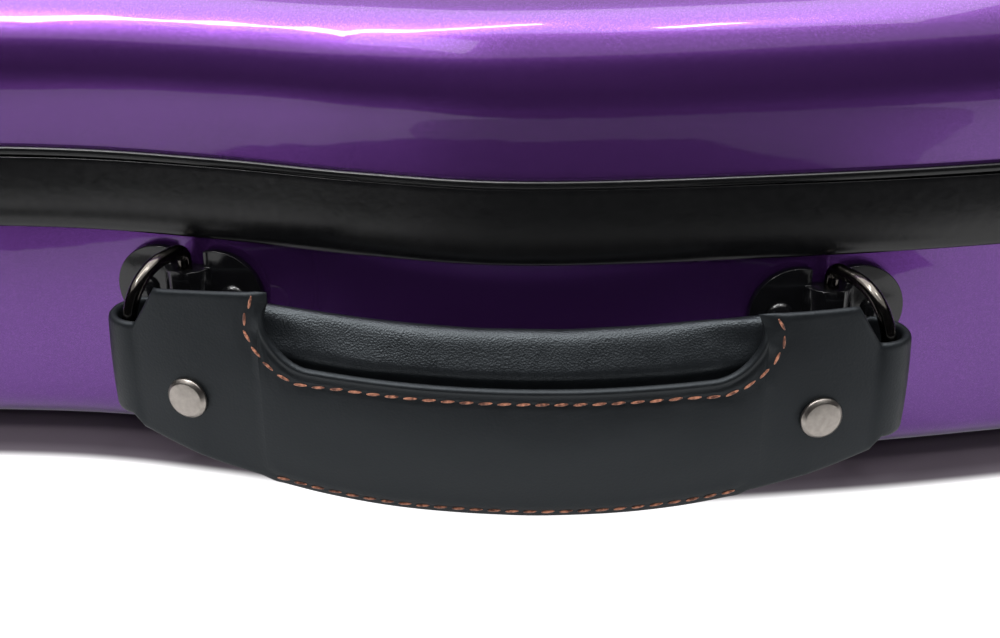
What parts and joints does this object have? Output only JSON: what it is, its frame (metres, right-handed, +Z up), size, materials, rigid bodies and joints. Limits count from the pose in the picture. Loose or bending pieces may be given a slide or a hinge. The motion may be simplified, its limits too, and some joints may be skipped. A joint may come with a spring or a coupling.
{
  "type": "violin case",
  "caption": "Contoured hard-shell violin case with a hinged lid, draw latches, a ring-hung leather handle, back strap rings and a padded interior.",
  "frame": {"origin": "on the floor under the middle of the closed case's plan box", "axes": "+X along the case to its lower end, -Y out of the handle side, +Z up through the lid"},
  "size_m": [0.7964, 0.2999, 0.1344],
  "materials": {
    "shell_paint": "glossy metallic purple lacquer with a clear coat",
    "seal_rubber": "satin black",
    "dark_metal": "black-nickel plate",
    "black_enamel": "gloss black enamel",
    "hide": "fine-grained black leather with copper thread",
    "plush": "short-pile charcoal velvet",
    "black_plastic": "satin moulded black"
  },
  "bodies": {
    "base": {"base_shell": "shell_paint", "base_seal_strip": "seal_rubber", "floor_feet": "seal_rubber", "spine_feet": "seal_rubber", "base_hinge_leaves": "dark_metal", "hinge_pins": "dark_metal", "base_hinge_rivets": "dark_metal", "latch_plates": "dark_metal", "latch_plate_rivets": "dark_metal", "latch_lever_pins": "dark_metal", "handle_bracket_left": "black_enamel", "handle_bracket_right": "black_enamel", "bracket_screws": "black_enamel", "strap_bracket_scroll": "black_enamel", "strap_bracket_lower": "black_enamel", "strap_bracket_screws": "black_enamel", "base_lining": "plush", "lining_block_front": "plush", "lining_block_back": "plush", "lower_cushion": "plush", "upper_cushion": "plush", "neck_cradle": "plush", "neck_strap_tabs": "hide", "accessory_tray": "plush"},
    "lid": {"lid_shell": "shell_paint", "lid_edge_trim": "seal_rubber", "lid_lining": "plush", "lid_hinge_leaves": "dark_metal", "lid_hinge_rivets": "dark_metal", "bow_tip_pockets": "plush", "spinner_posts": "black_plastic", "latch_keepers": "dark_metal", "keeper_rivets": "dark_metal"},
    "handle": {"handle_cover": "hide", "handle_grip": "hide", "handle_rivets": "dark_metal"},
    "bow_spinner_front": {"bow_spinner_front": "black_plastic"},
    "bow_spinner_back": {"bow_spinner_back": "black_plastic"},
    "latch_lever_left": {"latch_lever_left": "dark_metal"},
    "latch_lever_right": {"latch_lever_right": "dark_metal"},
    "latch_bail_left": {"latch_bail_left": "dark_metal"},
    "latch_bail_right": {"latch_bail_right": "dark_metal"},
    "handle_ring_left": {"handle_ring_left": "dark_metal"},
    "handle_ring_right": {"handle_ring_right": "dark_metal"},
    "strap_ring_scroll": {"strap_ring_scroll": "dark_metal"},
    "strap_ring_lower": {"strap_ring_lower": "dark_metal"}
  },
  "joints": [
    {"name": "lid_hinge", "type": "hinge", "parent": "base", "child": "lid", "pos_m": [0.095, 0.1437, 0.0804], "axis": [-1, 0, 0], "range_deg": [0, 100]},
    {"name": "spinner_front_turn", "type": "hinge", "parent": "lid", "child": "bow_spinner_front", "pos_m": [0.23, -0.012, 0.115], "axis": [0, 0, 1], "range_deg": [-180, 180]},
    {"name": "spinner_back_turn", "type": "hinge", "parent": "lid", "child": "bow_spinner_back", "pos_m": [0.23, 0.046, 0.115], "axis": [0, 0, 1], "range_deg": [-180, 180]},
    {"name": "lever_left_lift", "type": "hinge", "parent": "base", "child": "latch_lever_left", "pos_m": [-0.11235, -0.09426, 0.05], "axis": [-0.9984, 0.0568, 0], "range_deg": [0, 120]},
    {"name": "bail_left_fold", "type": "hinge", "parent": "latch_lever_left", "child": "latch_bail_left", "pos_m": [-0.11249, -0.09665, 0.043], "axis": [-0.9984, 0.0568, 0], "range_deg": [-139, 1]},
    {"name": "lever_right_lift", "type": "hinge", "parent": "base", "child": "latch_lever_right", "pos_m": [0.26925, -0.10335, 0.05], "axis": [-0.9794, -0.2022, 0], "range_deg": [0, 120]},
    {"name": "bail_right_fold", "type": "hinge", "parent": "latch_lever_right", "child": "latch_bail_right", "pos_m": [0.26974, -0.1057, 0.043], "axis": [-0.9794, -0.2022, 0], "range_deg": [-139, 1]},
    {"name": "ring_left_swing", "type": "hinge", "parent": "base", "child": "handle_ring_left", "pos_m": [0.02849, -0.10305, 0.0382], "axis": [0, 0, 1], "range_deg": [-10, 10]},
    {"name": "handle_swing", "type": "hinge", "parent": "handle_ring_left", "child": "handle", "pos_m": [0.01775, -0.12167, 0.0382], "axis": [0, 0, 1], "range_deg": [-10, 10]},
    {"name": "ring_right_swing", "type": "hinge", "parent": "base", "child": "handle_ring_right", "pos_m": [0.19001, -0.11509, 0.0382], "axis": [0, 0, 1], "range_deg": [-12, 12]},
    {"name": "strap_ring_scroll_swing", "type": "hinge", "parent": "base", "child": "strap_ring_scroll", "pos_m": [-0.16541, 0.13593, 0.0408], "axis": [0.9947, 0.103, 0], "range_deg": [0, 150]},
    {"name": "strap_ring_lower_swing", "type": "hinge", "parent": "base", "child": "strap_ring_lower", "pos_m": [0.30256, 0.13967, 0.0408], "axis": [0.99, -0.141, 0], "range_deg": [0, 150]}
  ],
  "couplings": [
    {"joint": "bail_left_fold", "follows": "lever_left_lift", "ratio": -1.15},
    {"joint": "bail_right_fold", "follows": "lever_right_lift", "ratio": -1.15},
    {"joint": "handle_swing", "follows": "ring_left_swing", "ratio": -0.87643},
    {"joint": "ring_right_swing", "follows": "ring_left_swing", "ratio": 1.088}
  ]
}
